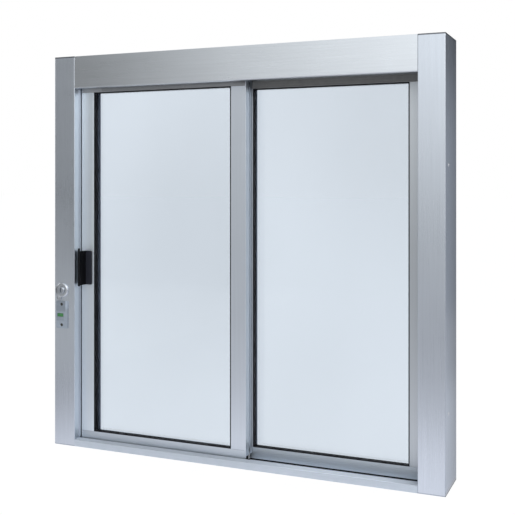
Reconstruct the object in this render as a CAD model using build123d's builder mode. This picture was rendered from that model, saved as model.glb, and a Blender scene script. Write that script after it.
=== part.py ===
from build123d import *
import os

# Horizontal sliding concession window: an aluminium frame with one sliding and one fixed sash.
#
# Sizes are in millimetres. The frame stands upright: +X runs to the right seen from the front,
# +Y to the back and +Z up. The origin is the middle of the sill's underside. Depths are measured
# from the frame's front face towards the back.

os.makedirs("parts", exist_ok=True)

# Frame, outside sizes
frame_width = 914.4
frame_height = 905.7
frame_depth = 114.3
wall = 2.0
edge_radius = 1.5

# Jambs: a hollow extrusion with a rebate between its front and back noses. The front nose ends in
# a small lip beside the sliding sash's face.
jamb_width = 55.0
jamb_nose_gap = 0.8
jamb_lip_depth = 5.0
jamb_lip_reach = 1.6
jamb_rebate = 3.0
jamb_chamber_reach = 8.0
cap_thickness = 2.0

# Header: a hollow extrusion with two hanging lips and a channel for the sash tops
header_height = 75.0
header_lip_gap = 1.0
header_channel_height = 22.0
header_edge_radius = 3.0
header_rib_drop = 14.0

# Sill: a floor between two hollow lips, the back one lower, with a beaded track for the rollers
sill_height = 15.0
sill_back_height = 11.0
sill_lip_gap = 4.0
sill_floor = 3.0
track_width = 2.4
track_height = 5.5
track_bead_radius = 2.0

# Pile weatherstrips
pile_width = 5.0
pile_clearance = 0.2
header_seal_rise = 8.0

# Sashes: a pair that sits a little forward of the frame's middle
sash_depth = 27.0
sash_gap = 8.0
sash_pair_forward = 1.15
stile_gap = 2.7
closing_stile_width = 33.7
fixed_stile_width = 30.0
meeting_stile_width = 36.0
fixed_meeting_width = 37.2
meeting_centre = 3.8
glazing_pocket = 10.2
web_foot = 15.5
foot_notch = 3.6
front_rail_clearance = 2.5
front_bottom_reveal = 17.0
front_top_reveal = 8.2
lift_clearance = 2.7
bedding_height = 3.5
rear_bottom_reveal = 16.0
rear_top_reveal = 12.0
head_clearance = 0.3
fixed_side_gap = 0.3
web_head_clearance = 1.0
rear_leg_drop = 4.6
butt_seam = 0.4

# The meeting stiles' side rebate and the two interlocking fins between the sashes
meeting_land = 17.0
meeting_step = 3.5
interlock_fin = 2.0
interlock_reach = 5.5
interlock_gap = 1.0

# Insulated glazing
glass_recess = 13.0
pane_thickness = 3.2
air_space = 4.0
glass_edge_gap = 2.0
glass_contact_gap = 0.05
spacer_width = 6.5
gasket_sight = 2.2
sliding_rear_sight = 3.5
fixed_rear_sight = 0.6
gasket_lip = 0.6
gasket_corner_radius = 3.0
setting_block_length = 40.0

# Rollers in the sliding sash's bottom rail
roller_radius = 6.0
roller_tread = 5.0
roller_width = 7.0
roller_groove_clearance = 0.1
roller_axle_radius = 1.5
roller_inset = 70.0

# Nylon guide plate inside the meeting stile's foot, the clip on the sliding sash's top rail, and
# the ribbed strip on the fixed sash's, which is scored across at four places
guide_thickness = 2.0
guide_depth = 3.5
clip_height = 12.0
sliding_clip_length = 28.0
sliding_clip_inset = 35.8
strip_thickness = 1.6
strip_height = 17.0
strip_rise = 0.8
strip_score = 0.8
strip_score_depth = 1.4
strip_end_gap = 0.8
strip_rib_width = 1.2
strip_rib_reach = 0.8
strip_insets = (32.3, 95.6)
strip_end_insets = (65.7, 27.7)

# Pull handle on the closing stile: a base, a blade and a rim along the blade's edge
handle_centre_z = 413.6
handle_height = 78.8
handle_base_thickness = 2.5
handle_sight_gap = 4.9
handle_base_width = 19.6
handle_blade_thickness = 4.3
handle_reach = 26.0
handle_rim_height = 87.6
handle_rim_rise = 2.4
handle_rim_depth = 3.0
handle_corner_radius = 2.5
handle_rim_radius = 1.4

# Lock on the left jamb: a flat collar with a rounded rim round the key plug, a tab below it, and a
# plate with a sunk panel, an indicator window and two screw holes
lock_inset = 20.7
lock_z = 361.0
collar_radius = 17.0
collar_height = 3.6
collar_round = 2.6
tab_width = 11.0
tab_height = 12.0
tab_thickness = 3.0
tab_offset = 7.0
plug_radius = 9.0
plug_height = 7.0
plug_bevel = 1.2
plug_clearance = 0.2
keyway_width = 2.4
keyway_height = 11.0
keyway_depth = 4.0
plate_inset = 21.9
plate_z = 304.0
plate_width = 32.4
plate_height = 63.5
plate_thickness = 2.2
plate_edge_thickness = 0.8
plate_bevel_width = 7.5
plate_corner_radius = 2.5
plate_screw_spacing = 48.0
plate_screw_radius = 2.0
plate_sink_radius = 3.6
panel_width = 19.5
panel_height = 18.0
panel_drop = 3.8
panel_sink = 0.5
flag_inset = 16.9
flag_z = 302.8
flag_width = 15.7
flag_height = 7.5
flag_thickness = 1.4
flag_clearance = 0.3

# Lines that several pieces share
inner_x = frame_width / 2 - jamb_width
web_x = inner_x + jamb_rebate
header_bottom = frame_height - header_height
header_ceiling = header_bottom + header_channel_height
sash_setback = (frame_depth - 2 * sash_depth - sash_gap) / 2 - sash_pair_forward
rear_setback = sash_setback + sash_depth + sash_gap
back_margin = frame_depth - rear_setback - sash_depth
front_centre = sash_setback + sash_depth / 2
rear_centre = rear_setback + sash_depth / 2
fixed_fin_inset = meeting_stile_width - 2 * interlock_fin - interlock_gap
frame_length_z = frame_height - 2 * cap_thickness


def y_at(depth):
    """Y of a depth measured from the frame's front face."""
    return depth - frame_depth / 2


def facing_plane(depth):
    """An upright plane at a depth, seen from the front: its x is X and its y is Z."""
    return Plane(origin=(0, y_at(depth), 0), x_dir=(1, 0, 0), z_dir=(0, -1, 0))


def save(part, name):
    """Labels a finished piece and writes it to its own file."""
    part.label = name
    export_step(part, f"parts/{name}.step")


def make_jamb(name, side):
    """One upright of the frame; side is -1 on the left and +1 on the right."""
    nose = sash_setback - jamb_nose_gap
    back_nose = back_margin - jamb_nose_gap
    rebate_u = jamb_width - jamb_rebate
    outline = [
        (0, 0), (jamb_width, 0), (jamb_width, nose), (rebate_u, nose),
        (rebate_u, frame_depth - back_nose), (jamb_width, frame_depth - back_nose),
        (jamb_width, frame_depth), (0, frame_depth),
    ]
    front_web = nose + jamb_chamber_reach
    back_web = back_nose + jamb_chamber_reach

    def chamber(nose_depth, web_depth):
        return [
            (wall, wall), (jamb_width - wall, wall), (jamb_width - wall, nose_depth - wall),
            (rebate_u - wall, nose_depth - wall), (rebate_u - wall, web_depth), (wall, web_depth),
        ]

    def place(points, from_back=False):
        depths = [frame_depth - v if from_back else v for _, v in points]
        return [(side * (frame_width / 2 - u), y_at(v)) for (u, _), v in zip(points, depths)]

    with BuildPart() as jamb:
        with BuildSketch(Plane.XY.offset(cap_thickness)) as section:
            with BuildLine():
                Polyline(*place(outline), close=True)
            make_face()
            fillet(section.vertices().group_by(Axis.Y)[0], edge_radius)
            fillet(section.vertices().group_by(Axis.Y)[-1], edge_radius)
            with BuildLine():
                Polyline(*place(chamber(nose, front_web)), close=True)
            make_face(mode=Mode.SUBTRACT)
            with BuildLine():
                Polyline(*place(chamber(back_nose, back_web), from_back=True), close=True)
            make_face(mode=Mode.SUBTRACT)
            middle_width = rebate_u - 2 * wall
            middle_depth = frame_depth - front_web - back_web - 2 * wall
            middle_centre = front_web + wall + middle_depth / 2
            with Locations((side * (frame_width / 2 - wall - middle_width / 2), y_at(middle_centre))):
                Rectangle(middle_width, middle_depth, mode=Mode.SUBTRACT)
        extrude(amount=frame_length_z)
        # The lip only runs between the sill and the header.
        lip_x = inner_x - jamb_lip_reach / 2
        with BuildSketch(Plane.XY.offset(sill_height)):
            with Locations((side * lip_x, y_at(nose - jamb_lip_depth / 2))):
                Rectangle(jamb_lip_reach, jamb_lip_depth)
        extrude(amount=header_bottom - sill_height)
    save(jamb.part, name)


def make_jamb_cap(name, side, bottom):
    """A thin end cap that closes a jamb's hollow at its top or bottom end."""
    with BuildPart() as cap:
        with BuildSketch(Plane.XY.offset(bottom)) as outline:
            with Locations((side * (frame_width - jamb_width) / 2, 0)):
                Rectangle(jamb_width, frame_depth)
            fillet(outline.vertices(), edge_radius)
        extrude(amount=cap_thickness)
    save(cap.part, name)


make_jamb("left_jamb", -1)
make_jamb("right_jamb", 1)
for side_name, side in (("left", -1), ("right", 1)):
    make_jamb_cap(f"{side_name}_jamb_bottom_cap", side, 0)
    make_jamb_cap(f"{side_name}_jamb_top_cap", side, frame_height - cap_thickness)


# Header, drawn as a section in Y and Z and run between the jambs
header_lip_depth = sash_setback - header_lip_gap
header_back_lip = back_margin - header_lip_gap
lip_back = frame_depth - header_back_lip
header_outline = [
    (0, header_bottom), (header_lip_depth, header_bottom), (header_lip_depth, header_ceiling),
    (lip_back, header_ceiling), (lip_back, header_bottom), (frame_depth, header_bottom),
    (frame_depth, frame_height), (0, frame_height),
]
with BuildPart() as header:
    with BuildSketch(Plane.YZ.offset(-inner_x)) as section:
        with BuildLine():
            Polyline(*[(y_at(v), z) for v, z in header_outline], close=True)
        make_face()
        for end in (0, -1):
            face_corners = section.vertices().group_by(Axis.X)[end].sort_by(Axis.Y)
            fillet(face_corners[0], header_edge_radius)
        for end in (0, -1):
            face_corners = section.vertices().group_by(Axis.X)[end].sort_by(Axis.Y)
            fillet(face_corners[-1], edge_radius)
        lip_chamber_height = header_height - 2 * wall
        header_lips = (
            (header_lip_depth / 2, header_lip_depth),
            (frame_depth - header_back_lip / 2, header_back_lip),
        )
        for lip_centre, lip_depth in header_lips:
            with Locations((y_at(lip_centre), header_bottom + header_height / 2)):
                Rectangle(lip_depth - 2 * wall, lip_chamber_height, mode=Mode.SUBTRACT)
        box_height = header_height - header_channel_height - 2 * wall
        box_depth = lip_back - header_lip_depth
        with Locations((y_at(header_lip_depth + box_depth / 2), header_ceiling + wall + box_height / 2)):
            Rectangle(box_depth, box_height, mode=Mode.SUBTRACT)
        for centre in (front_centre, rear_centre):
            with Locations((y_at(centre), header_ceiling - header_rib_drop / 2)):
                Rectangle(track_width, header_rib_drop)
    extrude(amount=2 * inner_x)
save(header.part, "header")

# Sill, with hollow lips, a flat floor and the beaded roller track
sill_lip_depth = sash_setback - sill_lip_gap
sill_back_lip = back_margin - sill_lip_gap
sill_back = frame_depth - sill_back_lip
sill_outline = [
    (0, 0), (frame_depth, 0), (frame_depth, sill_back_height), (sill_back, sill_back_height),
    (sill_back, sill_floor), (sill_lip_depth, sill_floor), (sill_lip_depth, sill_height),
    (0, sill_height),
]
track_top = sill_floor + track_height
bead_centre_z = track_top - track_bead_radius
with BuildPart() as sill:
    with BuildSketch(Plane.YZ.offset(-inner_x)) as section:
        with BuildLine():
            Polyline(*[(y_at(v), z) for v, z in sill_outline], close=True)
        make_face()
        for end in (0, -1):
            fillet(section.vertices().group_by(Axis.X)[end].sort_by(Axis.Y)[-1], edge_radius)
        sill_lips = (
            (sill_lip_depth / 2, sill_lip_depth, sill_height),
            (frame_depth - sill_back_lip / 2, sill_back_lip, sill_back_height),
        )
        for lip_centre, lip_depth, lip_height in sill_lips:
            with Locations((y_at(lip_centre), lip_height / 2)):
                Rectangle(lip_depth - 2 * wall, lip_height - 2 * wall, mode=Mode.SUBTRACT)
        with Locations((y_at(front_centre), (sill_floor + bead_centre_z) / 2)):
            Rectangle(track_width, bead_centre_z - sill_floor)
        with Locations((y_at(front_centre), bead_centre_z)):
            Circle(track_bead_radius)
    extrude(amount=2 * inner_x)
save(sill.part, "sill")

# Pile weatherstrips: two upright ones in the jamb rebates, and one behind each front lip
seal_height = header_bottom - sill_height
jamb_seals = (("left", -1, front_centre, stile_gap), ("right", 1, rear_centre, fixed_side_gap))
for side_name, side, centre, side_gap in jamb_seals:
    seal_thickness = jamb_rebate + side_gap - pile_clearance
    with BuildPart() as jamb_seal:
        with BuildSketch(Plane.XY.offset(sill_height)):
            with Locations((side * (web_x - seal_thickness / 2), y_at(centre))):
                Rectangle(seal_thickness, pile_width)
        extrude(amount=seal_height)
    save(jamb_seal.part, f"{side_name}_jamb_seal")

lip_seals = (
    ("sill_seal", sill_lip_depth, sill_height - wall - pile_width),
    ("header_seal", header_lip_depth, header_bottom + header_seal_rise),
)
for seal_name, lip_depth, seal_bottom in lip_seals:
    seal_reach = sash_setback - pile_clearance - lip_depth
    with BuildPart() as lip_seal:
        with BuildSketch(Plane.YZ.offset(-inner_x)):
            with Locations((y_at(lip_depth + seal_reach / 2), seal_bottom + pile_width / 2)):
                Rectangle(seal_reach, pile_width)
        extrude(amount=2 * inner_x)
    save(lip_seal.part, seal_name)


def make_stile(name, edge, inward, width, face, bottom, top, rails, meeting=0):
    """An upright sash member whose tube stands between the rails.

    edge is the X of its outer edge and inward is +1 or -1, the way towards the glass. From bottom
    to top its outer web alone runs on over the rails' ends. A meeting stile has an interlocking
    fin: behind it, with a groove along its side and a notch at its foot (meeting 1), or in front
    of it (meeting -1).
    """
    back = sash_depth - wall
    tube = width - glazing_pocket
    outline = [
        (0, 0), (width, 0), (width, wall), (tube, wall), (tube, back), (width, back),
        (width, sash_depth), (0, sash_depth),
    ]
    chamber = [(wall, wall), (tube - wall, wall), (tube - wall, back), (wall, back)]
    if meeting == 1:
        outline += [
            (0, back), (meeting_step, back), (meeting_step, meeting_land), (0, meeting_land),
        ]
        chamber[-1:] = [
            (meeting_step + wall, back), (meeting_step + wall, meeting_land - wall),
            (wall, meeting_land - wall),
        ]

    def place(points):
        return [(edge + inward * u, y_at(face + v)) for u, v in points]

    rail_below, rail_above = rails
    with BuildPart() as stile:
        with BuildSketch(Plane.XY.offset(bottom)) as section:
            with BuildLine():
                Polyline(*place(outline), close=True)
            make_face()
            front_corners = section.vertices().group_by(Axis.Y)[0]
            fillet(front_corners, wall / 2)
            with BuildLine():
                Polyline(*place(chamber), close=True)
            make_face(mode=Mode.SUBTRACT)
            if meeting:
                fin_depth = sash_depth + interlock_reach / 2 if meeting == 1 else -interlock_reach / 2
                fin_edge = 0 if meeting == 1 else fixed_fin_inset
                with Locations((edge + inward * (fin_edge + interlock_fin / 2), y_at(face + fin_depth))):
                    Rectangle(interlock_fin, interlock_reach)
        extrude(amount=top - bottom)
        # The tube stops at the rails; only the outer web covers their ends.
        for low, high in ((bottom, rail_below + butt_seam), (rail_above - butt_seam, top)):
            with BuildSketch(Plane.XY.offset(low)):
                cut_width = width
                with Locations((edge + inward * (wall + cut_width / 2), y_at(face + sash_depth / 2))):
                    Rectangle(cut_width, sash_depth + 4 * interlock_reach)
            extrude(amount=high - low, mode=Mode.SUBTRACT)
        if meeting == 1:
            notch_depth = sash_depth + 4 * interlock_reach
            with BuildSketch(Plane.XY.offset(bottom)):
                with Locations((edge, y_at(face + wall + notch_depth / 2))):
                    Rectangle(2 * width, notch_depth)
            extrude(amount=foot_notch, mode=Mode.SUBTRACT)
    save(stile.part, name)


def make_rail(name, left, right, face, outside, sight):
    """A level sash member with an H section, between Z outside and the sight line at the glass.

    Its rear leg stops short of the front leg at the glass.
    """
    toward_glass = 1 if sight > outside else -1
    web_z = sight - toward_glass * (glazing_pocket + wall / 2)
    with BuildPart() as rail:
        with BuildSketch(Plane.YZ.offset(left)):
            for leg_depth, shortening in ((wall / 2, 0), (sash_depth - wall / 2, rear_leg_drop)):
                leg_end = sight - toward_glass * shortening
                with Locations((y_at(face + leg_depth), (leg_end + outside) / 2)):
                    Rectangle(wall, abs(leg_end - outside))
            with Locations((y_at(face + sash_depth / 2), web_z)):
                Rectangle(sash_depth, wall)
        extrude(amount=right - left)
    save(rail.part, name)


def make_ring(name, steps, sight):
    """A rectangular ring built up in depth; steps holds (depth, thickness, outer box, inner box)."""
    with BuildPart() as ring:
        for depth, thickness, outer, inner in steps:
            with BuildSketch(facing_plane(depth)):
                with Locations(((outer[0] + outer[1]) / 2, (outer[2] + outer[3]) / 2)):
                    Rectangle(outer[1] - outer[0], outer[3] - outer[2])
                with Locations(((inner[0] + inner[1]) / 2, (inner[2] + inner[3]) / 2)):
                    RectangleRounded(
                        inner[1] - inner[0], inner[3] - inner[2], sight, mode=Mode.SUBTRACT
                    )
            extrude(amount=-thickness)
    save(ring.part, name)


def grow(box, amount):
    """A (left, right, bottom, top) box with each side moved outwards by amount."""
    return (box[0] - amount, box[1] + amount, box[2] - amount, box[3] + amount)


def make_glazing(prefix, face, sight_box, rear_side_sight):
    """The insulated unit of one sash with its two gaskets, its spacer and its setting blocks."""
    edge_box = grow(sight_box, glazing_pocket - glass_edge_gap)
    gasket_box = grow(sight_box, -gasket_sight)
    left, right, bottom, top = sight_box
    rear_box = (left, right, bottom - rear_leg_drop, top + rear_leg_drop)
    rear_gasket_box = (
        left + rear_side_sight, right - rear_side_sight,
        rear_box[2] + gasket_sight, rear_box[3] - gasket_sight,
    )
    front_glass = face + glass_recess
    rear_pane = front_glass + pane_thickness + air_space
    rear_glass = rear_pane + pane_thickness
    rear_flange = face + sash_depth - wall
    width = edge_box[1] - edge_box[0]
    height = edge_box[3] - edge_box[2]
    centre = ((edge_box[0] + edge_box[1]) / 2, (edge_box[2] + edge_box[3]) / 2)
    for pane_name, depth in (("front_pane", front_glass), ("rear_pane", rear_pane)):
        with BuildPart() as pane:
            with BuildSketch(facing_plane(depth)):
                with Locations(centre):
                    Rectangle(width, height)
            extrude(amount=-pane_thickness)
        save(pane.part, f"{prefix}_{pane_name}")
    spacer_box = grow(edge_box, -spacer_width)
    spacer_step = (front_glass + pane_thickness, air_space, edge_box, spacer_box)
    make_ring(f"{prefix}_spacer", [spacer_step], gasket_corner_radius)
    front_steps = [
        (face + gasket_lip, wall - gasket_lip, sight_box, gasket_box),
        (face + wall, glass_recess - wall - glass_contact_gap, edge_box, gasket_box),
    ]
    make_ring(f"{prefix}_front_gasket", front_steps, gasket_corner_radius)
    rear_rubber = rear_glass + glass_contact_gap
    rear_steps = [
        (rear_rubber, rear_flange - rear_rubber, edge_box, rear_gasket_box),
        (rear_flange, wall - gasket_lip, rear_box, rear_gasket_box),
    ]
    make_ring(f"{prefix}_rear_gasket", rear_steps, gasket_corner_radius)
    with BuildPart() as blocks:
        block_depth = rear_glass - front_glass
        with BuildSketch(Plane.XY.offset(edge_box[2] - glass_edge_gap)):
            for quarter_point in (edge_box[0] + width / 4, edge_box[1] - width / 4):
                with Locations((quarter_point, y_at(front_glass + block_depth / 2))):
                    Rectangle(setting_block_length, block_depth)
        extrude(amount=glass_edge_gap)
    save(blocks.part, f"{prefix}_setting_blocks")


# Sliding sash, in the front track on the left
front_left = -(inner_x - stile_gap)
front_right = meeting_centre + meeting_stile_width / 2
front_bottom = sill_floor + front_rail_clearance
front_top = header_ceiling - lift_clearance
front_sight_box = (
    front_left + closing_stile_width, front_right - meeting_stile_width,
    sill_height + front_bottom_reveal, header_bottom - front_top_reveal,
)
front_rails = (front_sight_box[2], front_sight_box[3])
web_head = header_ceiling - header_rib_drop - web_head_clearance
make_stile("sliding_closing_stile", front_left, 1, closing_stile_width, sash_setback,
           web_foot, web_head, front_rails)
make_stile("sliding_meeting_stile", front_right, -1, meeting_stile_width, sash_setback,
           web_foot, web_head, front_rails, meeting=1)
make_rail("sliding_bottom_rail", front_left + wall, front_right - wall, sash_setback,
          front_bottom, front_sight_box[2])
make_rail("sliding_top_rail", front_left + wall, front_right - wall, sash_setback,
          front_top, front_sight_box[3])
make_glazing("sliding", sash_setback, front_sight_box, sliding_rear_sight)

# Fixed sash, behind it on the right, bedded on a rubber strip
rear_left = meeting_centre - meeting_stile_width / 2
rear_right = inner_x - fixed_side_gap
rear_bottom = sill_floor + bedding_height
rear_top = header_ceiling - head_clearance
rear_sight_box = (
    rear_left + fixed_meeting_width, rear_right - fixed_stile_width,
    sill_height + rear_bottom_reveal, header_bottom - rear_top_reveal,
)
rear_rails = (rear_sight_box[2], rear_sight_box[3])
make_stile("fixed_meeting_stile", rear_left, 1, fixed_meeting_width, rear_setback,
           rear_bottom, web_head, rear_rails, meeting=-1)
make_stile("fixed_jamb_stile", rear_right, -1, fixed_stile_width, rear_setback,
           rear_bottom, web_head, rear_rails)
make_rail("fixed_bottom_rail", rear_left + wall, rear_right - wall, rear_setback,
          rear_bottom, rear_sight_box[2])
make_rail("fixed_top_rail", rear_left + wall, rear_right - wall, rear_setback,
          rear_top, rear_sight_box[3])
make_glazing("fixed", rear_setback, rear_sight_box, fixed_rear_sight)

with BuildPart() as bedding:
    with BuildSketch(Plane.YZ.offset(rear_left)):
        with Locations((y_at(rear_centre), sill_floor + bedding_height / 2)):
            Rectangle(sash_depth, bedding_height)
    extrude(amount=rear_right - rear_left)
save(bedding.part, "fixed_bedding_strip")

# Two grooved rollers on axles across the sliding bottom rail
axle_z = track_top + roller_tread
groove_radius = track_bead_radius + roller_groove_clearance
for roller_name, roller_x in (("left", front_left + roller_inset), ("right", front_right - roller_inset)):
    with BuildPart() as roller:
        with BuildSketch(Plane.YZ.offset(roller_x)):
            with Locations((y_at(front_centre), axle_z + roller_radius / 2)):
                Rectangle(roller_width, roller_radius)
            with Locations((y_at(front_centre), axle_z + axle_z - bead_centre_z)):
                Circle(groove_radius, mode=Mode.SUBTRACT)
        revolve(axis=Axis((roller_x, 0, axle_z), (0, 1, 0)))
        axle_length = sash_depth - 2 * wall
        with BuildSketch(facing_plane(sash_setback + wall)):
            with Locations((roller_x, axle_z)):
                Circle(roller_axle_radius)
        extrude(amount=-axle_length)
    save(roller.part, f"{roller_name}_roller")

# Nylon guide plate in the open end of the sliding bottom rail
guide_top = front_sight_box[2] - glazing_pocket - wall
guide_bottom = track_top
with BuildPart() as guide:
    with BuildSketch(Plane.XY.offset(guide_bottom)):
        guide_y = y_at(sash_setback + sash_depth - wall - guide_depth / 2)
        with Locations((front_right - wall - guide_thickness / 2, guide_y)):
            Rectangle(guide_thickness, guide_depth)
    extrude(amount=guide_top - guide_bottom)
save(guide.part, "sash_guide")

# Flat clip on the face of the sliding sash's top rail
with BuildPart() as clip:
    with BuildSketch(facing_plane(sash_setback)):
        with Locations((front_sight_box[0] + sliding_clip_inset, front_sight_box[3] + wall + clip_height / 2)):
            Rectangle(sliding_clip_length, clip_height)
    extrude(amount=header_lip_gap - pile_clearance)
save(clip.part, "sliding_top_clip")

# Ribbed strip on the face of the fixed sash's top rail, scored across
score_places = (
    rear_sight_box[0] + strip_insets[0], rear_sight_box[0] + strip_insets[1],
    rear_sight_box[1] - strip_end_insets[0], rear_sight_box[1] - strip_end_insets[1],
)
strip_bottom = rear_sight_box[3] + strip_rise
strip_face = rear_setback - strip_thickness
rib_face = strip_face - strip_rib_reach
with BuildPart() as strip:
    with BuildSketch(Plane.YZ.offset(rear_sight_box[0])):
        with Locations((y_at(rear_setback - strip_thickness / 2), strip_bottom + strip_height / 2)):
            Rectangle(strip_thickness, strip_height)
        for rib in range(4):
            rib_z = strip_bottom + strip_rib_width / 2 + rib * (strip_height - strip_rib_width) / 3
            with Locations((y_at(strip_face - strip_rib_reach / 2), rib_z)):
                Rectangle(strip_rib_reach, strip_rib_width)
    extrude(amount=inner_x - strip_end_gap - rear_sight_box[0])
    for score_x in score_places:
        with BuildSketch(Plane.YZ.offset(score_x - strip_score / 2)):
            with Locations((y_at(rib_face + strip_score_depth / 2), strip_bottom + strip_height / 2)):
                Rectangle(strip_score_depth, strip_height)
        extrude(amount=strip_score, mode=Mode.SUBTRACT)
save(strip.part, "fixed_top_strip")

# Pull handle
handle_right_x = front_sight_box[0] - handle_sight_gap
handle_left_x = handle_right_x - handle_base_width
handle_blade_x = handle_left_x + handle_blade_thickness / 2
with BuildPart() as handle:
    with BuildSketch(facing_plane(sash_setback)) as base_outline:
        with Locations((handle_left_x + handle_base_width / 2, handle_centre_z)):
            Rectangle(handle_base_width, handle_height)
        fillet(base_outline.vertices().group_by(Axis.X)[-1], handle_corner_radius)
    extrude(amount=handle_base_thickness)
    with BuildSketch(facing_plane(sash_setback)):
        with Locations((handle_blade_x, handle_centre_z)):
            Rectangle(handle_blade_thickness, handle_height)
    extrude(amount=handle_reach)
    with BuildSketch(facing_plane(sash_setback - handle_reach)):
        with Locations((handle_blade_x, handle_centre_z + handle_rim_rise)):
            RectangleRounded(handle_blade_thickness, handle_rim_height, handle_rim_radius)
    extrude(amount=handle_rim_depth)
save(handle.part, "pull_handle")

# Lock: the collar and the key plug
jamb_edge = -frame_width / 2
lock_x = jamb_edge + lock_inset
with BuildPart() as collar:
    with BuildSketch(facing_plane(0)):
        with Locations((lock_x, lock_z)):
            Circle(collar_radius)
    extrude(amount=collar_height)
    fillet(collar.edges().group_by(Axis.Y)[0], collar_round)
    with BuildSketch(facing_plane(-collar_height)):
        with Locations((lock_x, lock_z)):
            Circle(plug_radius + plug_clearance)
    extrude(amount=-collar_height, mode=Mode.SUBTRACT)
    with BuildSketch(facing_plane(0)) as tab_outline:
        with Locations((lock_x - tab_offset, lock_z - collar_radius)):
            Rectangle(tab_width, tab_height, align=(Align.CENTER, Align.CENTER))
        fillet(tab_outline.vertices().group_by(Axis.Y)[0], tab_width / 3)
        with Locations((lock_x, lock_z)):
            Circle(collar_radius - collar_round, mode=Mode.SUBTRACT)
    extrude(amount=tab_thickness)
save(collar.part, "lock_collar")

with BuildPart() as plug:
    with BuildSketch(facing_plane(0)):
        with Locations((lock_x, lock_z)):
            Circle(plug_radius)
    extrude(amount=plug_height)
    chamfer(plug.edges().group_by(Axis.Y)[0], plug_bevel)
    with BuildSketch(facing_plane(-plug_height)):
        with Locations((lock_x, lock_z)):
            SlotOverall(keyway_height, keyway_width, rotation=90)
    extrude(amount=-keyway_depth, mode=Mode.SUBTRACT)
save(plug.part, "lock_plug")

# Lock plate with its indicator window and the flag behind it
plate_x = jamb_edge + plate_inset
flag_x = jamb_edge + flag_inset
plate_right = plate_x + plate_width / 2
plate_section = [
    (plate_x - plate_width / 2, 0), (plate_right, 0), (plate_right, -plate_edge_thickness),
    (plate_right - plate_bevel_width, -plate_thickness), (plate_x - plate_width / 2, -plate_thickness),
]
with BuildPart() as plate:
    with BuildSketch(Plane.XY.offset(plate_z - plate_height / 2)):
        with BuildLine():
            Polyline(*[(x, y_at(depth)) for x, depth in plate_section], close=True)
        make_face()
    extrude(amount=plate_height)
    with BuildSketch(facing_plane(0)):
        with Locations((plate_x, plate_z)):
            RectangleRounded(plate_width, plate_height, plate_corner_radius)
    extrude(amount=plate_thickness, mode=Mode.INTERSECT)
    with BuildSketch(facing_plane(-plate_thickness)):
        with Locations((flag_x, flag_z - panel_drop)):
            Rectangle(panel_width, panel_height)
    extrude(amount=-panel_sink, mode=Mode.SUBTRACT)
    with BuildSketch(facing_plane(0)):
        with Locations((flag_x, flag_z)):
            Rectangle(flag_width + 2 * flag_clearance, flag_height + 2 * flag_clearance)
    extrude(amount=plate_thickness, mode=Mode.SUBTRACT)
    for screw_side in (-1, 1):
        screw_z = plate_z + screw_side * plate_screw_spacing / 2
        with Locations(Plane(origin=(lock_x, y_at(-plate_thickness), screw_z), z_dir=(0, -1, 0))):
            CounterSinkHole(plate_screw_radius, plate_sink_radius, depth=plate_thickness)
save(plate.part, "lock_plate")

with BuildPart() as flag:
    with BuildSketch(facing_plane(0)):
        with Locations((flag_x, flag_z)):
            Rectangle(flag_width, flag_height)
    extrude(amount=flag_thickness)
save(flag.part, "indicator_flag")
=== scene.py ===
import math

import bmesh
import bpy
from mathutils import Matrix, Vector


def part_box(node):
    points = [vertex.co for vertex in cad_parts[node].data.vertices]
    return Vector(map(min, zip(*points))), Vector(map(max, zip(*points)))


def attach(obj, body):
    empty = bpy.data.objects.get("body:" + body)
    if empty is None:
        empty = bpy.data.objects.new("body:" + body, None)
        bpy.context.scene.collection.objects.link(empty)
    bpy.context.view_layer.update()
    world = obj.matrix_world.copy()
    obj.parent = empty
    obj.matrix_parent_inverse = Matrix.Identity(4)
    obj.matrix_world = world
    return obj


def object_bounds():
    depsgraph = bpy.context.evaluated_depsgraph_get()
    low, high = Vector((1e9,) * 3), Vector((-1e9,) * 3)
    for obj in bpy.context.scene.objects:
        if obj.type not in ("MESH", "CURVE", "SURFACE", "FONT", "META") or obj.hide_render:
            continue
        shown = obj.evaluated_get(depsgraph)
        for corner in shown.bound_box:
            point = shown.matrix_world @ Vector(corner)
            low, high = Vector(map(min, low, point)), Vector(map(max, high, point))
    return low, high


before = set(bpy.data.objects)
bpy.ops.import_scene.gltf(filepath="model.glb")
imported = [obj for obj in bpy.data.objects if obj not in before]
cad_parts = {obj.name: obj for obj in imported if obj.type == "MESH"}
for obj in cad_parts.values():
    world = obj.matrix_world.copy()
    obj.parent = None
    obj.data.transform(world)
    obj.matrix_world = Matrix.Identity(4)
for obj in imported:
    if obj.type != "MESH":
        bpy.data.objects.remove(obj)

cad_low, cad_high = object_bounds()


# The viewpoint. The window stands upright and is seen from the front, a little to its right and
# from two thirds of its height, with the camera held level. Sizes are in metres.
def in_scene(name, data):
    """A new object with this data, put in the scene."""
    placed = bpy.data.objects.new(name, data)
    bpy.context.scene.collection.objects.link(placed)
    return placed


photo_side = 515
focal_pixels = 889.4
horizon_pixels_up = 75.5
sensor_width = 36.0
view_reach = 50.0
camera_place = (0.7958, -1.7939, 0.6136)
camera_tilt = math.radians(90.0)
camera_turn = math.radians(22.97)

camera_data = bpy.data.cameras.new("view_camera")
camera_data.sensor_width = sensor_width
camera_data.lens = sensor_width * focal_pixels / photo_side
camera_data.shift_y = -horizon_pixels_up / photo_side
camera_data.clip_end = view_reach
camera = in_scene("view_camera", camera_data)
camera.location = camera_place
camera.rotation_euler = (camera_tilt, 0.0, camera_turn)
bpy.context.scene.camera = camera
bpy.context.scene.view_settings.view_transform = "Standard"


# The backdrop: plain white for the camera, in the metal and through the glass. What it gives to the
# room as light is weaker and faintly cool.
def feed(tree, source, target):
    """Feeds an input socket from an output socket, or sets it to a plain value."""
    if isinstance(source, bpy.types.NodeSocket):
        tree.links.new(source, target)
    else:
        target.default_value = source


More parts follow.
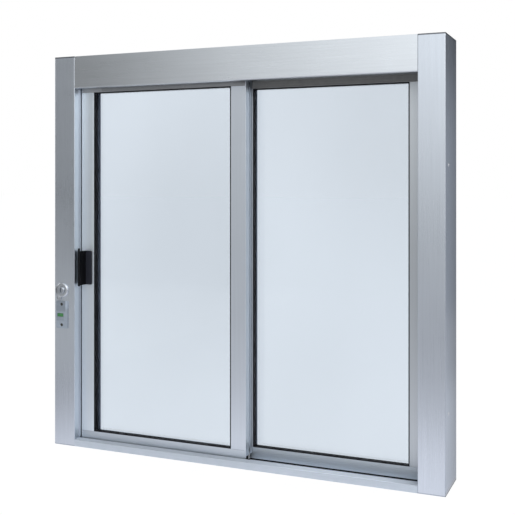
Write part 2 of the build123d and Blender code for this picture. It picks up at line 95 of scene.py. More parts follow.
def worked_out(tree, operation, *terms, clamp=False):
    """The result of a sum on sockets or numbers."""
    step = tree.nodes.new("ShaderNodeMath")
    step.operation = operation
    step.use_clamp = clamp
    for term, socket in zip(terms, step.inputs):
        feed(tree, term, socket)
    return step.outputs[0]


def seen_directly(tree):
    """A socket that is 1 for rays that carry the backdrop: camera, mirrored and through glass."""
    path = tree.nodes.new("ShaderNodeLightPath").outputs
    camera_or_mirrored = worked_out(tree, "MAXIMUM", path["Is Camera Ray"], path["Is Glossy Ray"])
    return worked_out(tree, "MAXIMUM", camera_or_mirrored, path["Is Transmission Ray"])


def show_mixed(tree, share, first, second, output_name):
    """Sends a mix of two shaders to the tree's output: all of the second where share is 1."""
    mix = tree.nodes.new("ShaderNodeMixShader")
    for source, socket in zip((share, first.outputs[0], second.outputs[0]), mix.inputs):
        feed(tree, source, socket)
    feed(tree, mix.outputs[0], tree.nodes[output_name].inputs["Surface"])


white = (1.0, 1.0, 1.0, 1.0)
room_light_colour = (0.92, 0.96, 1.0, 1.0)
room_light_strength = 0.55

world = bpy.data.worlds.new("studio")
world.use_nodes = True
bpy.context.scene.world = world
world_tree = world.node_tree
backdrop = world_tree.nodes["Background"]
backdrop.inputs["Color"].default_value = white
backdrop.inputs["Strength"].default_value = 1.0
room_light = world_tree.nodes.new("ShaderNodeBackground")
room_light.inputs["Color"].default_value = room_light_colour
room_light.inputs["Strength"].default_value = room_light_strength
show_mixed(world_tree, seen_directly(world_tree), room_light, backdrop, "World Output")


# The floor: plain white, as bright as the backdrop, with a faint shadow of the window left on it.
# In the metal it shows as a bright pool round the window that falls off to grey.
def new_material(name):
    """A node material, its tree and its shader."""
    material = bpy.data.materials.new(name)
    material.use_nodes = True
    tree = material.node_tree
    return material, tree, tree.nodes["Principled BSDF"]


def own_place(tree):
    """The place on a piece, in its own coordinates."""
    return tree.nodes.new("ShaderNodeTexCoord").outputs["Object"]


def distance_from(tree, centre, place):
    """How far a place is from a fixed centre."""
    reach = tree.nodes.new("ShaderNodeVectorMath")
    reach.operation = "DISTANCE"
    feed(tree, place, reach.inputs[0])
    feed(tree, centre, reach.inputs[1])
    return reach.outputs["Value"]


def graded(tree, value, places, results=(0.0, 1.0), smooth=False):
    """Goes from the first result to the second as value goes between the two places."""
    ramp = tree.nodes.new("ShaderNodeMapRange")
    if smooth:
        ramp.interpolation_type = "SMOOTHSTEP"
    for socket_name, bound in zip(("From Min", "From Max", "To Min", "To Max"), (*places, *results)):
        ramp.inputs[socket_name].default_value = bound
    feed(tree, value, ramp.inputs["Value"])
    return ramp.outputs[0]


def blended(tree, share, first, second, colour=False):
    """Goes from the first number or colour to the second as share goes from 0 to 1."""
    mix = tree.nodes.new("ShaderNodeMix")
    first_input, second_input, result = 2, 3, 0
    if colour:
        mix.data_type = "RGBA"
        first_input, second_input, result = 6, 7, 2
    feed(tree, share, mix.inputs[0])
    feed(tree, first, mix.inputs[first_input])
    feed(tree, second, mix.inputs[second_input])
    return mix.outputs[result]


def made_mesh(name, shape):
    """Turns a finished bmesh into a mesh."""
    mesh = bpy.data.meshes.new(name)
    shape.to_mesh(mesh)
    shape.free()
    return mesh


def flat_sheet(name, width, height, material):
    """A flat sheet round the origin, put in the scene."""
    shape = bmesh.new()
    bmesh.ops.create_grid(shape, x_segments=1, y_segments=1, size=0.5)
    bmesh.ops.scale(shape, vec=(width, height, 1.0), verts=shape.verts)
    sheet = in_scene(name, made_mesh(name, shape))
    sheet.data.materials.append(material)
    return sheet


floor_size = 60.0
floor_colour = (0.9, 0.9, 0.9, 1.0)
floor_roughness = 0.9
floor_brightness = 1.068
floor_shadow_share = 0.12
mirrored_tint = (0.98, 0.985, 1.055, 1.0)
pool_centre = (0.10, 0.0, 0.0)
pool_reach = (0.1, 1.2)
grey_brightness = 0.40

floor_material, floor_tree, floor_shader = new_material("white_floor")
floor_shader.inputs["Base Color"].default_value = floor_colour
floor_shader.inputs["Roughness"].default_value = floor_roughness
floor_path = floor_tree.nodes.new("ShaderNodeLightPath").outputs
mirrored = worked_out(floor_tree, "SUBTRACT", floor_path["Is Glossy Ray"], floor_path["Is Transmission Ray"],
                      clamp=True)
pool = graded(floor_tree, distance_from(floor_tree, pool_centre, own_place(floor_tree)), pool_reach,
              (floor_brightness, grey_brightness), smooth=True)
floor_glow = floor_tree.nodes.new("ShaderNodeEmission")
feed(floor_tree, blended(floor_tree, mirrored, white, mirrored_tint, colour=True), floor_glow.inputs["Color"])
feed(floor_tree, blended(floor_tree, mirrored, floor_brightness, pool), floor_glow.inputs["Strength"])
glow_share = worked_out(floor_tree, "MULTIPLY", seen_directly(floor_tree), 1.0 - floor_shadow_share)
show_mixed(floor_tree, glow_share, floor_shader, floor_glow, "Material Output")
floor = flat_sheet("floor", floor_size, floor_size, floor_material)


# The studio screens: cards in greys that the satin metal mirrors. Two stand, to the left of the
# camera and behind the window's right side, one hangs overhead, and two lie on the floor.
def split_place(tree):
    """The place on a piece, as one socket for each axis."""
    split = tree.nodes.new("ShaderNodeSeparateXYZ")
    feed(tree, own_place(tree), split.inputs[0])
    return split.outputs


def grey_screen(name, centre, size, turn, left_tones, right_tones, fade, colour=(0.97, 0.985, 1.0)):
    """A studio screen that only mirrored rays see.

    Each side has a tone at its foot and one above, which change over between the two heights of
    fade, and the sides blend across.
    """
    width, height = size
    material, tree, shader = new_material(name)
    tree.nodes.remove(shader)
    place = split_place(tree)
    fade_places = [fade_height - height / 2 for fade_height in fade]
    to_right = graded(tree, place["X"], (-width / 2, width / 2), smooth=True)
    left_tone = graded(tree, place["Y"], fade_places, left_tones, smooth=True)
    right_tone = graded(tree, place["Y"], fade_places, right_tones, smooth=True)
    glow = tree.nodes.new("ShaderNodeEmission")
    glow.inputs["Color"].default_value = (*colour, 1.0)
    feed(tree, blended(tree, to_right, left_tone, right_tone), glow.inputs["Strength"])
    feed(tree, glow.outputs[0], tree.nodes["Material Output"].inputs["Surface"])
    screen = flat_sheet(name, width, height, material)
    screen.location = centre
    screen.rotation_euler = [math.radians(angle) for angle in turn]
    screen.visible_camera = False
    screen.visible_diffuse = False
    screen.visible_transmission = False
    screen.visible_shadow = False


upright = (90.0, 0.0, 0.0)
upright_turned = (90.0, 0.0, 180.0)
lying = (0.0, 0.0, 0.0)
cool_grey = (0.88, 0.955, 1.09)
floor_grey = (0.87, 0.91, 0.995)
grey_screen("front_screen", centre=(-1.5, -3.0, 1.3), size=(4.2, 2.6), turn=upright,
            left_tones=(0.16, 0.035), right_tones=(0.46, 1.34), fade=(0.0, 1.5))
grey_screen("side_screen", centre=(1.5, 2.3, 1.2), size=(2.4, 2.4), turn=upright_turned,
            left_tones=(0.33, 0.11), right_tones=(0.33, 0.11), fade=(0.75, 1.35), colour=cool_grey)
grey_screen("low_card", centre=(1.335, 1.125, 0.003), size=(1.75, 2.55), turn=lying,
            left_tones=(0.68, 0.48), right_tones=(0.68, 0.48), fade=(0.75, 1.4), colour=floor_grey)
grey_screen("left_card", centre=(-1.675, -1.75, 0.003), size=(1.65, 1.9), turn=lying,
            left_tones=(0.64, 0.64), right_tones=(0.64, 0.64), fade=(0.0, 1.0))
grey_screen("top_screen", centre=(-1.2, -1.6, 2.7), size=(4.8, 2.8), turn=lying,
            left_tones=(0.05, 0.05), right_tones=(1.10, 1.10), fade=(0.0, 1.0))


# The lamps: one large soft box in front on the right, which shows in the metal, and a weaker one on
# the left that doesn't. Both stand high and face the window.
def soft_box(name, centre, target, size, power, mirrored):
    """A square lamp that faces a point of the window, and that the metal mirrors or doesn't."""
    lamp_data = bpy.data.lights.new(name, "AREA")
    lamp_data.shape = "SQUARE"
    lamp_data.size = size
    lamp_data.energy = power
    lamp = in_scene(name, lamp_data)
    lamp.location = centre
    lamp.visible_glossy = mirrored
    lamp.rotation_euler = (Vector(target) - Vector(centre)).to_track_quat("-Z", "Y").to_euler()


soft_box("key_lamp", centre=(1.6, -2.4, 2.4), target=(0.0, 0.0, 0.5), size=1.6, power=26.0, mirrored=True)
soft_box("fill_lamp", centre=(-2.0, -2.2, 1.8), target=(0.0, 0.0, 0.4), size=1.4, power=9.0, mirrored=False)


# The jambs: drawn hollow aluminium profiles over the full height, in satin clear anodising, with a
# rebate that takes the sash and a narrow nose in front of it. The drawing leaves faint lines along
# their length. Painted shade darkens the outer sides towards the back and at their feet, the top
# ends, the left jamb's rebate behind its nose and the right jamb's nose edge.
def noise(tree, place, scale, detail, roughness=0.5):
    """A cloudy pattern over a surface."""
    pattern = tree.nodes.new("ShaderNodeTexNoise")
    pattern.inputs["Scale"].default_value = scale
    pattern.inputs["Detail"].default_value = detail
    pattern.inputs["Roughness"].default_value = roughness
    feed(tree, place, pattern.inputs["Vector"])
    return pattern.outputs["Fac"]


def stretched(tree, place, scale):
    """A place with each axis scaled."""
    mapping = tree.nodes.new("ShaderNodeMapping")
    mapping.inputs["Scale"].default_value = scale
    feed(tree, place, mapping.inputs["Vector"])
    return mapping.outputs[0]


def scaled(tree, colour, share):
    """A colour times a share."""
    product = tree.nodes.new("ShaderNodeVectorMath")
    product.operation = "SCALE"
    feed(tree, colour, product.inputs[0])
    feed(tree, share, product.inputs["Scale"])
    return product.outputs[0]


def raise_grain(tree, shader, pattern, strength, height):
    """Gives a shader's surface a fine relief from a pattern."""
    bump = tree.nodes.new("ShaderNodeBump")
    bump.inputs["Strength"].default_value = strength
    bump.inputs["Distance"].default_value = height
    feed(tree, pattern, bump.inputs["Height"])
    feed(tree, bump.outputs[0], shader.inputs["Normal"])


noise_span = (0.3, 0.7)


def drawn_aluminium(name, along, tone, roughness, line_depth, streak, metallic=1.0):
    """Anodised aluminium whose drawn lines run along the axis X, Y or Z."""
    lines_along = 5.0
    fine_lines, fine_detail = 2200.0, 3.0
    broad_lines, broad_detail = 210.0, 4.0
    line_break_up = 0.6
    line_height = 0.0003
    line_gloss = 0.03
    cloud_scale, cloud_detail = 9.0, 5.0
    cloud_span = (0.35, 0.65)
    cloud_gloss = 0.02
    material, tree, shader = new_material(name)
    place = own_place(tree)

    def lines(count, detail):
        counts = [lines_along if axis == along else count for axis in "XYZ"]
        return noise(tree, stretched(tree, place, counts), scale=1.0, detail=detail, roughness=line_break_up)

    fine = lines(fine_lines, fine_detail)
    tint = graded(tree, lines(broad_lines, broad_detail), noise_span, (1.0 - streak, 1.0 + streak))
    feed(tree, scaled(tree, tone, tint), shader.inputs["Base Color"])
    gloss = graded(tree, fine, noise_span, (roughness - line_gloss, roughness + line_gloss))
    cloud = noise(tree, place, scale=cloud_scale, detail=cloud_detail)
    gloss_shift = graded(tree, cloud, cloud_span, (-cloud_gloss, cloud_gloss))
    feed(tree, worked_out(tree, "ADD", gloss, gloss_shift), shader.inputs["Roughness"])
    raise_grain(tree, shader, fine, line_depth, line_height)
    shader.inputs["Metallic"].default_value = metallic
    return material


def scale_tone(material, share):
    """Scales a finish's colour by a share that changes over the piece, to paint light or shade on it."""
    tree = material.node_tree
    colour = tree.nodes["Principled BSDF"].inputs["Base Color"]
    feed(tree, scaled(tree, colour.links[0].from_socket, share), colour)


def paint_light_and_shade(material, zone, share):
    """Paints shade (share below 1) or light (share above 1) into a finish's colour in a zone.

    The zone gives two places along one or more axes: it starts at the first and is full at the second.
    """
    tree = material.node_tree
    place = split_place(tree)
    inside, *others = [graded(tree, place[axis], places) for axis, places in zone.items()]
    for other in others:
        inside = worked_out(tree, "MULTIPLY", inside, other)
    scale_tone(material, worked_out(tree, "MULTIPLY_ADD", inside, share - 1.0, 1.0))


def finish_node(name, material):
    """Gives a CAD piece its material in place of the plain one."""
    for material_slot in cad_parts[name].material_slots:
        material_slot.material = material


jamb_tone = (0.67, 0.720, 0.785)
jamb_rebate = 0.003
outer_skin = 0.0015
foot_levels = (0.012, 0.002)
behind_nose = (-0.0552, -0.0548)
for side_name, side in (("left", -1), ("right", 1)):
    jamb_low, jamb_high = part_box(f"{side_name}_jamb")
    jamb_finish = drawn_aluminium(f"frame_aluminium_{side_name}_jamb", "Z", jamb_tone,
                                  roughness=0.30, line_depth=0.12, streak=0.028)
    outer_x = side * cad_high.x
    outer_side = (outer_x - side * outer_skin, outer_x)
    top_end = (jamb_high.z - 0.0013, jamb_high.z - 0.0007)
    # Painted shade: the outer side darkens towards the back.
    paint_light_and_shade(jamb_finish, {"X": outer_side, "Y": (cad_low.y, cad_high.y)}, share=0.55)
    # Painted shade at the foot of the outer side.
    paint_light_and_shade(jamb_finish, {"X": outer_side, "Z": foot_levels}, share=0.50)
    # Painted shade along the top end, under the cap.
    paint_light_and_shade(jamb_finish, {"Z": top_end}, share=0.50)
    if side_name == "left":
        rebate_x = jamb_high.x - jamb_rebate
        rebate_face = (rebate_x - 0.0006, rebate_x - 0.0002)
        # Painted shade on the left jamb's rebate face behind its nose.
        paint_light_and_shade(jamb_finish, {"X": rebate_face, "Y": behind_nose}, share=0.91)
    else:
        nose_edge = (jamb_low.x + 0.0014, jamb_low.x + 0.0004)
        # Painted shade along the right jamb's nose edge.
        paint_light_and_shade(jamb_finish, {"X": nose_edge}, share=0.55)
    finish_node(f"{side_name}_jamb", jamb_finish)


# The header: a drawn hollow profile fitted between the jambs, in the same anodising, with two lips
# that hang over the tops of the sashes. Its tone is lighter than the jambs', as painted light.
# Painted shade darkens it to the left and on its lips' undersides on the right half, and a painted
# highlight brightens its front lip's lower edge.
header_tone = (0.76, 0.80, 0.84)
header_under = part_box("header")[0].z
left_half = (0.0, -0.37)
right_half = (-0.01, 0.02)
front_face = (-0.0530, -0.0545)
lower_edge = (header_under + 0.0045, header_under + 0.0030)
underside = (header_under + 0.0015, header_under + 0.0003)
header_finish = drawn_aluminium("frame_aluminium_level", "X", header_tone,
                                roughness=0.30, line_depth=0.12, streak=0.03)
# Painted shade, darker to the left.
paint_light_and_shade(header_finish, {"X": left_half}, share=0.80)
# Painted highlight on the front lip's lower edge.
paint_light_and_shade(header_finish, {"Z": lower_edge, "Y": front_face}, share=1.06)
# Painted shade on the lips' undersides, on the right half.
paint_light_and_shade(header_finish, {"Z": underside, "X": right_half}, share=0.30)
finish_node("header", header_finish)


# The sill: a drawn profile between the jambs, with a hollow lip at the front and the back and a low
# beaded track for the rollers. Its finish is more matt than the jambs'. Painted shade darkens its
# upper faces, most beside the right jamb, and painted light brightens them under the fixed sash and
# brightens the front face right of the middle.
sill_tone = (0.665, 0.72, 0.805)
upper_faces = (0.0140, 0.0146)
lower_faces = (0.0138, 0.0132)
beside_right_jamb = (0.33, 0.40)
under_fixed_sash = (0.01, 0.15)
right_of_middle = (0.0, 0.10)
sill_finish = drawn_aluminium("sill_aluminium", "X", sill_tone,
                              roughness=0.60, line_depth=0.12, streak=0.03, metallic=0.0)
# Painted shade on the upper faces.
paint_light_and_shade(sill_finish, {"Z": upper_faces}, share=0.89)
# More painted shade on them beside the right jamb.
paint_light_and_shade(sill_finish, {"Z": upper_faces, "X": beside_right_jamb}, share=0.62)
# Painted light on them under the fixed sash.
paint_light_and_shade(sill_finish, {"Z": upper_faces, "X": under_fixed_sash}, share=1.60)
# Painted light on the front face right of the middle.
paint_light_and_shade(sill_finish, {"Z": lower_faces, "X": right_of_middle}, share=1.07)
finish_node("sill", sill_finish)


# The sashes' frames: two drawn hollow stiles each, with a rail butted between them at the top and
# the bottom, in a duller anodising than the outer frame's. The top rails are the most matt. The
# profiles' tones differ as painted light and shade, and the top rails' dark tone is painted shade
# from the header's lips. The sliding sash's meeting stile is notched at its foot, where painted
# shade darkens the gap behind it.
def sash_aluminium(part, along, tone, roughness=0.46):
    """The sashes' anodising, on one of their profiles."""
    return drawn_aluminium(f"sash_aluminium_{part}", along, tone, roughness, line_depth=0.10, streak=0.02)


# The tones of one anodising differ from profile to profile as painted light and shade.
meeting_tone = (0.69, 0.74, 0.80)
closing_tone = (0.87, 0.94, 1.0)
fixed_tone = (0.545, 0.578, 0.607)
sliding_rail_tone = (0.65, 0.70, 0.75)
fixed_rail_tone = (0.72, 0.775, 0.825)
# The top rails' dark tone is painted shade from the header's lips.
shaded_top_tone = (0.385, 0.395, 0.405)
top_roughness = 0.55
lower_part = (0.42, 0.12)
upper_part = (0.48, 0.75)
toward_left_jamb = (-0.30, -0.385)
behind_notch = {"X": (0.005, 0.008), "Y": (-0.0300, -0.0290), "Z": (0.0160, 0.0155)}

closing_finish = sash_aluminium("closing", "Z", closing_tone)
finish_node("sliding_closing_stile", closing_finish)

meeting_finish = sash_aluminium("meeting", "Z", meeting_tone)
meeting_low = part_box("sliding_meeting_stile")[0]
# Painted shade in the notch at the meeting stile's foot.
in_notch = {"Z": (meeting_low.z + 0.0040, meeting_low.z + 0.0036),
            "Y": (meeting_low.y + 0.0021, meeting_low.y + 0.0025)}
paint_light_and_shade(meeting_finish, in_notch, share=0.12)
finish_node("sliding_meeting_stile", meeting_finish)

sliding_bottom_finish = sash_aluminium("level", "X", sliding_rail_tone)
# Painted shade on the bottom rail behind the notch.
paint_light_and_shade(sliding_bottom_finish, behind_notch, share=0.10)
finish_node("sliding_bottom_rail", sliding_bottom_finish)

sliding_top_finish = sash_aluminium("sliding_top", "X", shaded_top_tone, top_roughness)
# Painted light on the sliding top rail's left end.
paint_light_and_shade(sliding_top_finish, {"X": toward_left_jamb}, share=1.6)
finish_node("sliding_top_rail", sliding_top_finish)

finish_node("fixed_meeting_stile", sash_aluminium("upright", "Z", meeting_tone))
fixed_jamb_finish = sash_aluminium("fixed", "Z", fixed_tone)
# Painted light on the fixed jamb stile's lower and upper parts.
paint_light_and_shade(fixed_jamb_finish, {"Z": lower_part}, share=1.10)
paint_light_and_shade(fixed_jamb_finish, {"Z": upper_part}, share=1.15)
finish_node("fixed_jamb_stile", fixed_jamb_finish)
finish_node("fixed_bottom_rail", sash_aluminium("fixed_level", "X", fixed_rail_tone))
top_finish = sash_aluminium("top", "X", shaded_top_tone, top_roughness)
finish_node("fixed_top_rail", top_finish)


# The jambs' end caps: thin pressed plates that close the hollow ends, darker than the jambs, and
# the top ones much darker than the bottom ones. Painted shade darkens the bottom ones' outer edges.
def mottled(name, tone, roughness, metallic, scale, colour_change, grain, grain_depth=0.0001):
    """A plain finish with a faint mottle in its tone and a fine grain in its surface."""
    mottle_detail = 4.0
    gloss_change = 0.12
    grain_scale, grain_detail = 2500.0, 2.0
    material, tree, shader = new_material(name)
    place = own_place(tree)
    mottle = noise(tree, place, scale, mottle_detail)
    tint = graded(tree, mottle, noise_span, (1.0 - colour_change, 1.0 + colour_change))
    feed(tree, scaled(tree, tone, tint), shader.inputs["Base Color"])
    gloss_ends = (roughness * (1.0 - gloss_change), min(1.0, roughness * (1.0 + gloss_change)))
    feed(tree, graded(tree, mottle, noise_span, gloss_ends), shader.inputs["Roughness"])
    raise_grain(tree, shader, noise(tree, place, grain_scale, grain_detail), grain, grain_depth)
    shader.inputs["Metallic"].default_value = metallic
    return material


top_cap_finish = mottled("top_cap_grey", (0.12, 0.13, 0.15), roughness=0.45, metallic=0.6, scale=60.0,
                         colour_change=0.06, grain=0.2)
bottom_cap_finish = mottled("bottom_cap_grey", (0.45, 0.49, 0.57), roughness=0.45, metallic=0.6, scale=60.0,
                            colour_change=0.06, grain=0.2)
for side_name, side in (("left", -1), ("right", 1)):
    outer_x = side * cad_high.x
    cap_edge = (outer_x - side * 0.0008, outer_x - side * 0.0002)
    # Painted shade along the bottom caps' outer edges.
    paint_light_and_shade(bottom_cap_finish, {"X": cap_edge}, share=0.10)
    finish_node(f"{side_name}_jamb_top_cap", top_cap_finish)
    finish_node(f"{side_name}_jamb_bottom_cap", bottom_cap_finish)


# The insulated glazing: in each sash two clear panes with a faint blue cast round a bright spacer
# bar, darkened by painted shade round a spot. They stand on rubber blocks and are held by a black
# gasket in front and a grey one behind, and the fixed sash is bedded on a black rubber strip that
# also stands in for the shade in the gap under its rail.
def pane_glass(name, shade_spot_centre):
    """Clear glass with a faint blue cast, darkened by painted shade round a centre."""
    film_scale, film_detail = (3.2, 3.2, 1.7), 1.5
    deep_cast = (0.80, 0.84, 0.88, 1.0)
    light_cast = (0.86, 0.90, 0.945, 1.0)
    shade_spot_reach = (0.05, 0.40)
    shade_spot_share = 0.943
    glass_ior = 1.45
    material, tree, shader = new_material(name)
    place = own_place(tree)
    film = noise(tree, stretched(tree, place, film_scale), scale=1.0, detail=film_detail)
    cast = blended(tree, film, deep_cast, light_cast, colour=True)
    # Painted shade: each pane is darker round its spot.
    from_shade_spot = distance_from(tree, shade_spot_centre, place)
    share = graded(tree, from_shade_spot, shade_spot_reach, (shade_spot_share, 1.0), smooth=True)
    feed(tree, scaled(tree, cast, share), shader.inputs["Base Color"])
    shader.inputs["Roughness"].default_value = 0.0
    shader.inputs["IOR"].default_value = glass_ior
    shader.inputs["Transmission Weight"].default_value = 1.0
    return material


shade_spot_centres = {"sliding": (-0.05, -0.02, 0.50), "fixed": (0.36, 0.01, 0.78)}
black_rubber = mottled("gasket_rubber", (0.009, 0.010, 0.013), roughness=0.62, metallic=0.0, scale=90.0,
                       colour_change=0.10, grain=0.06)
black_rubber.node_tree.nodes["Principled BSDF"].inputs["Specular IOR Level"].default_value = 0.25
grey_rubber = mottled("rear_gasket_rubber", (0.43, 0.45, 0.53), roughness=0.62, metallic=0.0, scale=90.0,
                      colour_change=0.10, grain=0.06)
spacer_metal = mottled("spacer_bar", (0.85, 0.87, 0.90), roughness=0.4, metallic=0.5, scale=120.0,
                       colour_change=0.05, grain=0.3)
for sash, shade_spot_centre in shade_spot_centres.items():
    glass = pane_glass(f"pale_glass_{sash}", shade_spot_centre)
    finish_node(f"{sash}_front_pane", glass)
    finish_node(f"{sash}_rear_pane", glass)
    finish_node(f"{sash}_spacer", spacer_metal)
    finish_node(f"{sash}_setting_blocks", black_rubber)
    finish_node(f"{sash}_front_gasket", black_rubber)
    finish_node(f"{sash}_rear_gasket", grey_rubber)
# The black bedding strip also stands in for the shade in the gap under the fixed sash's rail.
finish_node("fixed_bedding_strip", black_rubber)


# Weatherseals and running gear: dense pile in the gaps, grey at the jambs and the header and darker
# at the sill, where the darker tone is partly painted shade for the channel behind the sill's lip,
# with nylon rollers on the sill's track and a nylon guide in the meeting stile's foot. A flat clip in
# the top rails' finish, with its painted shade, sits on the sliding sash's top rail, and a ribbed grey
# strip on the fixed one's.
def pile(name, tone):
    """Dense woven pile."""
    return mottled(name, tone, roughness=0.95, metallic=0.0, scale=700.0, colour_change=0.5, grain=0.8,
                   grain_depth=0.0006)


grey_pile = pile("pile_fibre", (0.12, 0.125, 0.135))
for name in ("left_jamb_seal", "right_jamb_seal", "header_seal"):
    finish_node(name, grey_pile)
# The sill's pile is darker, partly as painted shade.
finish_node("sill_seal", pile("pile_fibre_dark_and_shaded", (0.03, 0.031, 0.034)))
nylon = mottled("white_nylon", (0.62, 0.63, 0.64), roughness=0.4, metallic=0.0, scale=80.0,
                colour_change=0.04, grain=0.2)
for name in ("left_roller", "right_roller", "sash_guide"):
    finish_node(name, nylon)
# The clip takes the top rails' finish with its painted shade.
finish_node("sliding_top_clip", top_finish)
strip_grey = mottled("ribbed_strip_grey", (0.245, 0.243, 0.24), roughness=0.6, metallic=0.0, scale=70.0,
                     colour_change=0.08, grain=0.25)
finish_node("fixed_top_strip", strip_grey)


# The pull handle: one black enamelled bracket screwed to the closing stile. Its flat base carries
# painted light, a dull blue grey, and the blade stays black.
# Painted light: the handle's flat base near the stile takes this lighter tone.
base_lit_tone = (0.031, 0.033, 0.044, 1.0)
stile_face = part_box("sliding_closing_stile")[0].y
base_front = (stile_face - 0.0032, stile_face - 0.0026)
handle_black = mottled("handle_black", (0.0065, 0.0065, 0.0085), roughness=0.5, metallic=0.0, scale=60.0,
                       colour_change=0.12, grain=0.25)
handle_tree = handle_black.node_tree
handle_shader = handle_tree.nodes["Principled BSDF"]
handle_shader.inputs["Specular IOR Level"].default_value = 0.12
enamel = handle_shader.inputs["Base Color"].links[0].from_socket
on_base = graded(handle_tree, split_place(handle_tree)["Y"], base_front)
feed(handle_tree, blended(handle_tree, on_base, enamel, base_lit_tone, colour=True),
     handle_shader.inputs["Base Color"])
finish_node("pull_handle", handle_black)


# The lock: a plated collar with a rounded rim and a tab below, round a duller key plug. Painted shade
# darkens the collar inside its rim, so the rim shows bright, and on its left side and its tab. Under
# it is a satin plate with bevelled edges, a sunk panel and a green indicator in its window. Painted
# shade darkens the plate's upper part, its sunk panel and edges and its right edge, and a painted
# highlight brightens the top of its bevel.
plug_low, plug_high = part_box("lock_plug")
lock_centre_x = (plug_low.x + plug_high.x) / 2
lock_centre_z = (plug_low.z + plug_high.z) / 2
rim_radius = 0.0135
rim_start = (rim_radius - 0.0005, rim_radius + 0.001)
inside_rim_share = 0.78
across_and_up = (1.0, 0.0, 1.0)
collar_left = (lock_centre_x - 0.009, lock_centre_x - 0.0135)
tab_levels = (lock_centre_z - 0.0168, lock_centre_z - 0.0176)
collar_plating = mottled("lock_collar_plating", (0.75, 0.79, 0.84), roughness=0.24, metallic=1.0, scale=120.0,
                         colour_change=0.03, grain=0.05)
collar_tree = collar_plating.node_tree
flat_place = stretched(collar_tree, own_place(collar_tree), across_and_up)
from_key = distance_from(collar_tree, (lock_centre_x, 0.0, lock_centre_z), flat_place)
# Painted shade inside the rim, which leaves the rim bright.
scale_tone(collar_plating, graded(collar_tree, from_key, rim_start, (inside_rim_share, 1.0)))
# Painted shade on the collar's left side.
paint_light_and_shade(collar_plating, {"X": collar_left}, share=0.40)
# Painted shade on the tab.
paint_light_and_shade(collar_plating, {"Z": tab_levels}, share=0.75)
finish_node("lock_collar", collar_plating)
plug_plating = mottled("lock_plating", (0.48, 0.515, 0.56), roughness=0.38, metallic=1.0, scale=120.0,
                       colour_change=0.03, grain=0.05)
finish_node("lock_plug", plug_plating)

plate_low, plate_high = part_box("lock_plate")
bevel_x = plate_high.x - 0.0075
flat_part = (bevel_x + 0.0004, bevel_x)
bevel_part = (bevel_x - 0.0002, bevel_x + 0.0008)
bevel_end = (plate_high.x - 0.0030, plate_high.x - 0.0015)
flat_top_levels = (0.309, 0.314)
bevel_top_levels = (0.316, 0.322)
sunk_depth = (plate_low.y + 0.0001, plate_low.y + 0.0004)
plate_satin = mottled("lock_plate_satin", (0.57, 0.645, 0.74), roughness=0.34, metallic=1.0, scale=120.0,
                      colour_change=0.05, grain=0.15)
# Painted shade on the plate's upper part.
paint_light_and_shade(plate_satin, {"X": flat_part, "Z": flat_top_levels}, share=0.78)
# Painted shade on the sunk panel and the plate's edges.
paint_light_and_shade(plate_satin, {"X": flat_part, "Y": sunk_depth}, share=0.85)
# Painted highlight on the top of the bevel.
paint_light_and_shade(plate_satin, {"X": bevel_part, "Z": bevel_top_levels}, share=1.25)
# Painted shade along the plate's right edge.
paint_light_and_shade(plate_satin, {"X": bevel_end}, share=0.80)
finish_node("lock_plate", plate_satin)
flag_green = mottled("indicator_green", (0.06, 0.245, 0.075), roughness=0.45, metallic=0.0, scale=200.0,
                     colour_change=0.08, grain=0.1)
finish_node("indicator_flag", flag_green)


# The fixings: small cross-recess screws with turned heads. Two blackened ones hold the lock plate in
# its countersinks, and two bright ones with low heads are driven into each jamb's outer side.
def keep_piece(name, mesh, material):
    """Puts a finished mesh in the scene as a piece that goes with the frame."""
    mesh.materials.clear()
    mesh.materials.append(material)
    piece = in_scene(name, mesh)
    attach(piece, "root")


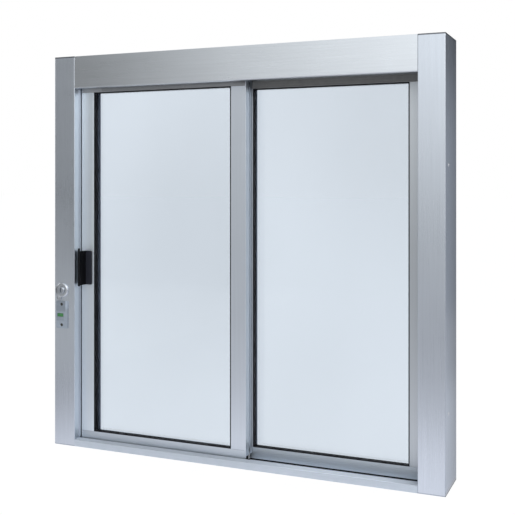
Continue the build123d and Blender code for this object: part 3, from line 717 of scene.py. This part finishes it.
def cross_screw(name, centre, outward, radius, dome, turn, material):
    """A screw head with a cross recess; outward is the way its head faces."""
    hidden_depth = 0.6 * dome
    rim_height = 0.15 * dome
    shoulder = (0.82 * radius, 0.7 * dome)
    crown = (0.45 * radius, dome)
    spin_steps = 24
    merge_distance = 1e-6
    recess_arm = (1.15 * radius, 0.24 * radius, 1.2 * dome)
    recess_height = 0.9 * dome

    head = bmesh.new()
    profile = ((0.0, -hidden_depth), (radius, -hidden_depth), (radius, rim_height), shoulder, crown,
               (0.0, dome))
    rim = [head.verts.new((across, 0.0, up)) for across, up in profile]
    for lower, upper in zip(rim, rim[1:]):
        head.edges.new((lower, upper))
    bmesh.ops.spin(head, geom=head.verts[:] + head.edges[:], cent=(0.0, 0.0, 0.0), axis=(0.0, 0.0, 1.0),
                   angle=math.tau, steps=spin_steps, use_merge=True, use_duplicate=False)
    bmesh.ops.remove_doubles(head, verts=head.verts, dist=merge_distance)
    bmesh.ops.recalc_face_normals(head, faces=head.faces)
    blank = in_scene(name + "_blank", made_mesh(name, head))
    cutters = []
    for arm_turn in (turn, turn + math.pi / 2):
        arm = bmesh.new()
        bmesh.ops.create_cube(arm, size=1.0)
        bmesh.ops.scale(arm, vec=recess_arm, verts=arm.verts)
        bmesh.ops.rotate(arm, cent=(0.0, 0.0, 0.0), verts=arm.verts, matrix=Matrix.Rotation(arm_turn, 3, "Z"))
        bmesh.ops.translate(arm, vec=(0.0, 0.0, recess_height), verts=arm.verts)
        cutter = in_scene(name + "_cutter", made_mesh(name + "_cutter", arm))
        cut = blank.modifiers.new("recess", "BOOLEAN")
        cut.operation = "DIFFERENCE"
        cut.solver = "EXACT"
        cut.object = cutter
        cutters.append(cutter)
    depsgraph = bpy.context.evaluated_depsgraph_get()
    mesh = bpy.data.meshes.new_from_object(blank.evaluated_get(depsgraph))
    for spare in [blank] + cutters:
        bpy.data.objects.remove(spare)
    facing = Vector(outward).to_track_quat("Z", "Y").to_matrix().to_4x4()
    mesh.transform(Matrix.Translation(centre) @ facing)
    keep_piece(name, mesh, material)


screw_black = mottled("screw_blackened", (0.09, 0.09, 0.085), roughness=0.35, metallic=1.0, scale=300.0,
                      colour_change=0.2, grain=0.2)
plate_screw_spread = 0.024
plate_screw_y = plate_low.y + 0.0006
plate_centre_z = (plate_low.z + plate_high.z) / 2
for end_name, end, turn in (("low", -1, 0.5), ("high", 1, 1.1)):
    plate_screw_z = plate_centre_z + end * plate_screw_spread
    cross_screw(f"plate_screw_{end_name}", (lock_centre_x, plate_screw_y, plate_screw_z),
                outward=(0.0, -1.0, 0.0), radius=0.0040, dome=0.0009, turn=turn, material=screw_black)

screw_bright = mottled("screw_bright", (0.86, 0.87, 0.88), roughness=0.38, metallic=1.0, scale=300.0,
                       colour_change=0.05, grain=0.1)
right_jamb_low, right_jamb_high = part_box("right_jamb")
side_screw_x = right_jamb_high.x - 0.0002
side_screw_y = right_jamb_low.y + 0.032
for side, side_name in ((-1, "left"), (1, "right")):
    for screw_z, level_name, turn in ((0.154, "low", 0.3), (0.647, "high", 0.9)):
        cross_screw(f"{side_name}_jamb_screw_{level_name}", (side * side_screw_x, side_screw_y, screw_z),
                    outward=(side, 0.0, 0.0), radius=0.0042, dome=0.0008, turn=turn, material=screw_bright)
